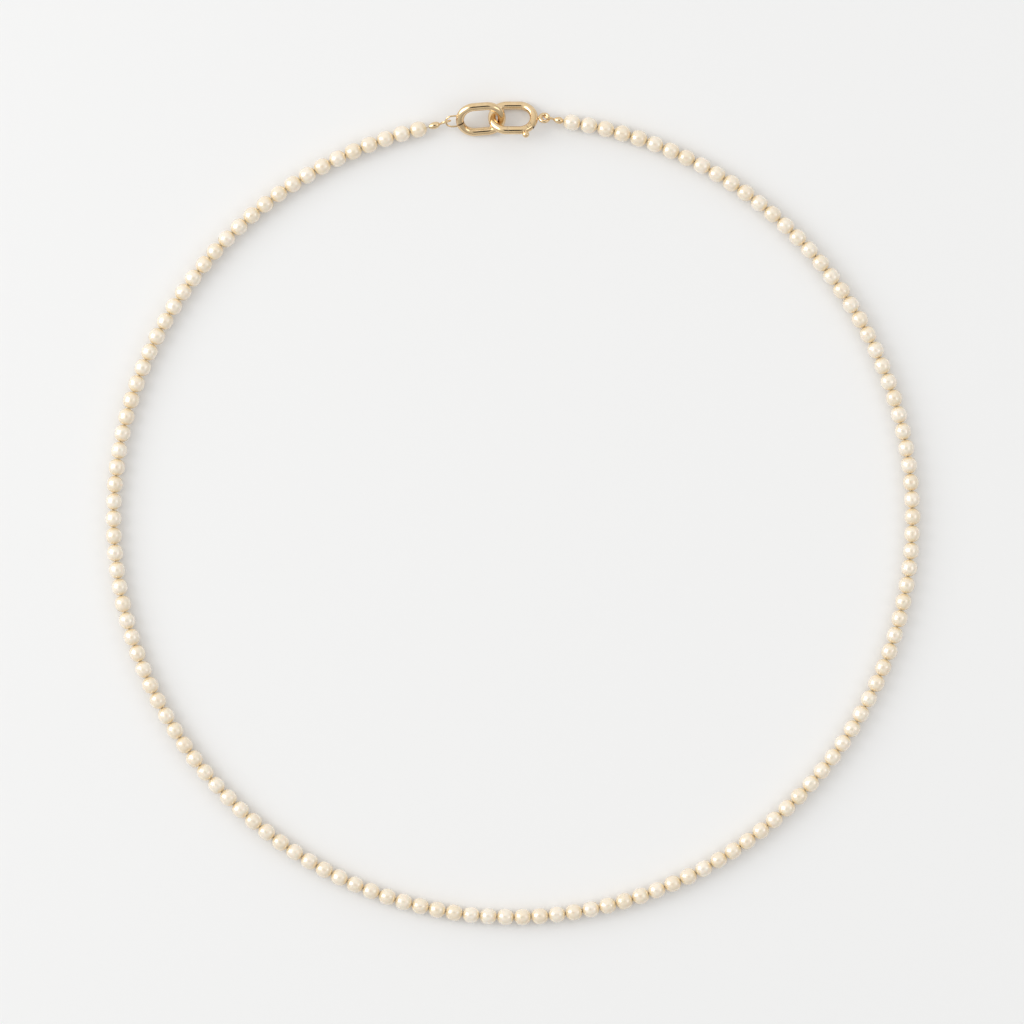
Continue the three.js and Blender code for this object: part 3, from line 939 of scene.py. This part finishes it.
def cup_profile(length, widest):
    """A bead tip's shell: an egg with a wall, open where the thread leaves it. widest is the
    share of its length at which it is widest."""
    radius = settings().clasp.cup_diameter / 2
    skew = math.log(0.5) / math.log(widest)

    def egg(start, long, across, turn):
        share = 0.5 * (1 - math.cos(turn))
        return start + long * share ** (1 / skew), across * math.sqrt(1 - (2 * share - 1) ** 2)

    profile = [(0.0, 0.0)]
    profile += [egg(0.0, length, radius, math.pi * step / 26) for step in range(1, 22)]
    # the rolled lip, from outside to inside
    profile += [
        (0.985 * length, 0.35), (0.995 * length, 0.30), (length, 0.27), (0.995 * length, 0.235),
        (0.97 * length, CUP_HOLE), (0.93 * length, CUP_HOLE + 0.02)]
    inner, cavity = radius - CUP_WALL, length - 2 * CUP_WALL
    profile += [egg(CUP_WALL, cavity, inner, math.pi * step / 24) for step in range(20, -1, -1)]
    return profile


class NECKLACE_OT_bead_tips(bpy.types.Operator):
    """Makes both clamshell bead tips with their hooks, and the thread's end knots inside them"""

    bl_idname = "necklace.bead_tips"
    bl_label = "Bead tips and knots"

    def execute(self, context):
        strand = settings().strand
        pearl_height = strand.pearl_diameter / 2
        for side, cup_length, widest, bare in CUPS:
            matrix, reach = tip_frame(side)
            link_height = link_measures()["clasp_height" if side == "right" else "anchor_height"]
            cup_start = reach - bare - cup_length
            hook_start = cup_start + CUP_WALL
            points = [
                (hook_start, 0, pearl_height),
                (hook_start / 2, 0, (pearl_height + link_height - HOOK_RING) / 2)]
            for angle in range(-90, -353, -18):
                turn = math.radians(angle)
                points.append((
                    HOOK_RING * math.cos(turn), 0, link_height + HOOK_RING * math.sin(turn)))
            hook = wire(smooth_path(points, 5), settings().clasp.hook_wire / 2, 16)
            vertices, faces = lathe(cup_profile(cup_length, widest), 64)
            moved = [v + Vector((cup_start, 0, pearl_height)) for v in vertices]
            body = f"strand_end_{side}"
            gold = tumbled_gold_plate()
            for name, shape in (("cup", (moved, faces)), ("hook", hook)):
                place(
                    f"bead_tip_{side}_{name}", shape, matrix, body, "gold_plate",
                    [f"bead_tip_{side}"], gold)

            middle = reach - bare - cup_length / 2
            knot_path = []
            knot_steps = 60
            for k in range(knot_steps):
                turn = 2 * math.pi * k / knot_steps
                knot_path.append(Vector((
                    middle + KNOT_SIZE * -math.sin(3 * turn),
                    KNOT_SIZE * (math.sin(turn) + 2 * math.sin(2 * turn)),
                    pearl_height + KNOT_SIZE * (math.cos(turn) - 2 * math.cos(2 * turn)))))
            # the tail stops just short of the first pearl's own thread
            tail_end = (reach - 0.02, 0, pearl_height)
            tail = twisted((middle, 0, pearl_height), tail_end, strand.thread_diameter)
            knot = joined(wire(knot_path, KNOT_STRAND / 2, 10, closed=True), tail)
            place(
                f"end_knot_{side}_fine", knot, matrix, body, "silk_thread", [f"end_knot_{side}"],
                twisted_silk())
        return {"FINISHED"}


# ---- Stage ---------------------------------------------------------------------------------

FLOOR_HALF = 1500.0
SHADE_RADIUS = 260
SHADE_THICKNESS = 4
# metres
SHADE_PLACE = (0, -0.05, 0.884)
SENSOR_WIDTH = 36.0
# towards the far left and up, where the window is
WINDOW_SIDE = (-0.45, 0.55, 0.70)


def aim_at(thing, target):
    thing.rotation_euler = (Vector(target) - thing.location).to_track_quat("-Z", "Y").to_euler()


class NECKLACE_OT_stage(bpy.types.Operator):
    """Makes the pale floor and room, the softboxes, the camera overhead and its dark shape"""

    bl_idname = "necklace.stage"
    bl_label = "Stage"

    def execute(self, context):
        stage = settings().stage
        scene = context.scene

        corners = [(x * FLOOR_HALF * MM, y * FLOOR_HALF * MM, 0) for x, y in SQUARE]
        mesh = mesh_from("floor", corners, [(0, 1, 2, 3)])
        floor = bpy.data.objects.new("floor", mesh)
        mesh.materials.append(matt_board())
        scene.collection.objects.link(floor)

        world = bpy.data.worlds.new("pale_room")
        world.use_nodes = True
        tree = world.node_tree
        tree.nodes.clear()
        towards = add_node(tree, "ShaderNodeTexCoord").outputs["Generated"]
        facing = add_node(tree, "ShaderNodeVectorMath", {"operation": "DOT_PRODUCT"}, {
            0: towards, 1: WINDOW_SIDE})
        level = add_node(tree, "ShaderNodeMapRange", None, {
            "Value": facing.outputs["Value"], "From Min": -0.6, "To Min": stage.horizon,
            "To Max": stage.zenith})
        background = add_node(tree, "ShaderNodeBackground", None, {
            "Color": linear(settings().finish.room), "Strength": level.outputs[0]})
        add_node(tree, "ShaderNodeOutputWorld", None, {"Surface": background.outputs[0]})
        scene.world = world

        # the window's glow only shows as a reflection, wider than the softbox within it
        # name, size in metres, power, place in metres
        for name, size, power, location in (
                ("key_softbox", (0.36, 0.50), stage.key_power, (-0.60, 0.14, 0.42)),
                ("window_glow", (0.58, 0.80), stage.glow_power, (-0.63, 0.147, 0.44)),
                ("fill_softbox", (0.30, 0.30), stage.fill_power, (0.50, 0.0, 0.50))):
            light = bpy.data.lights.new(name, "AREA")
            light.shape = "RECTANGLE"
            light.size, light.size_y = size
            light.energy = power
            softbox = bpy.data.objects.new(name, light)
            softbox.location = location
            softbox.visible_diffuse = name != "window_glow"
            aim_at(softbox, (0, 0, 0))
            scene.collection.objects.link(softbox)

        lens = bpy.data.cameras.new("camera")
        lens.lens = stage.lens
        lens.sensor_width = SENSOR_WIDTH
        lens.clip_start = 0.01
        camera = bpy.data.objects.new("camera", lens)
        height = stage.frame_width * MM * stage.lens / lens.sensor_width
        # the framed width is measured at the height of the pearls' middles
        camera.location = (stage.aim[0] * MM, stage.aim[1] * MM, height + 1.5 * MM)
        scene.collection.objects.link(camera)
        scene.camera = camera

        # the camera's own dark shape, which only shows as a reflection
        shape = upright_bar((0, 0, 0), SHADE_RADIUS, SHADE_THICKNESS)
        shade_mesh = mesh_from("lens_shade", *shape)
        shade_mesh.transform(Matrix.Scale(MM, 4))
        shade_mesh.materials.append(black_cloth())
        shade = bpy.data.objects.new("lens_shade", shade_mesh)
        shade.location = SHADE_PLACE
        shade.visible_camera = shade.visible_diffuse = shade.visible_shadow = False
        scene.collection.objects.link(shade)

        scene.view_settings.view_transform = "Standard"
        return {"FINISHED"}


# ---- Panel and registration ----------------------------------------------------------------


class NecklaceSettings(bpy.types.PropertyGroup):
    """All of the necklace's settings."""

    strand: PointerProperty(type=StrandSettings, name="Strand", description="Pearls and thread")
    clasp: PointerProperty(type=ClaspSettings, name="Clasp", description="Links and fittings")
    finish: PointerProperty(type=FinishSettings, name="Finish", description="Colours")
    stage: PointerProperty(type=StageSettings, name="Stage", description="Light and camera")


OPERATORS = (
    NECKLACE_OT_pearls,
    NECKLACE_OT_thread,
    NECKLACE_OT_links,
    NECKLACE_OT_gate,
    NECKLACE_OT_fittings,
    NECKLACE_OT_bead_tips,
    NECKLACE_OT_stage,
)


class NECKLACE_PT_panel(bpy.types.Panel):
    """Lists what the necklace is made of"""

    bl_label = "Pearl necklace"
    bl_idname = "NECKLACE_PT_panel"
    bl_space_type = "VIEW_3D"
    bl_region_type = "UI"
    bl_category = "Necklace"

    def draw(self, context):
        for group in (settings().strand, settings().clasp, settings().finish, settings().stage):
            box = self.layout.box()
            for name in group.__annotations__:
                box.prop(group, name)
        for operator in OPERATORS:
            self.layout.operator(operator.bl_idname)


CLASSES = (
    StrandSettings,
    ClaspSettings,
    FinishSettings,
    StageSettings,
    NecklaceSettings,
    *OPERATORS,
    NECKLACE_PT_panel,
)


def register():
    for made in CLASSES:
        bpy.utils.register_class(made)
    bpy.types.Scene.necklace = PointerProperty(type=NecklaceSettings)


def unregister():
    del bpy.types.Scene.necklace
    for made in reversed(CLASSES):
        bpy.utils.unregister_class(made)


def main():
    register()
    bpy.ops.necklace.pearls()
    bpy.ops.necklace.thread()
    bpy.ops.necklace.links()
    bpy.ops.necklace.gate()
    bpy.ops.necklace.fittings()
    bpy.ops.necklace.bead_tips()
    bpy.ops.necklace.stage()


if __name__ == "__main__":
    main()
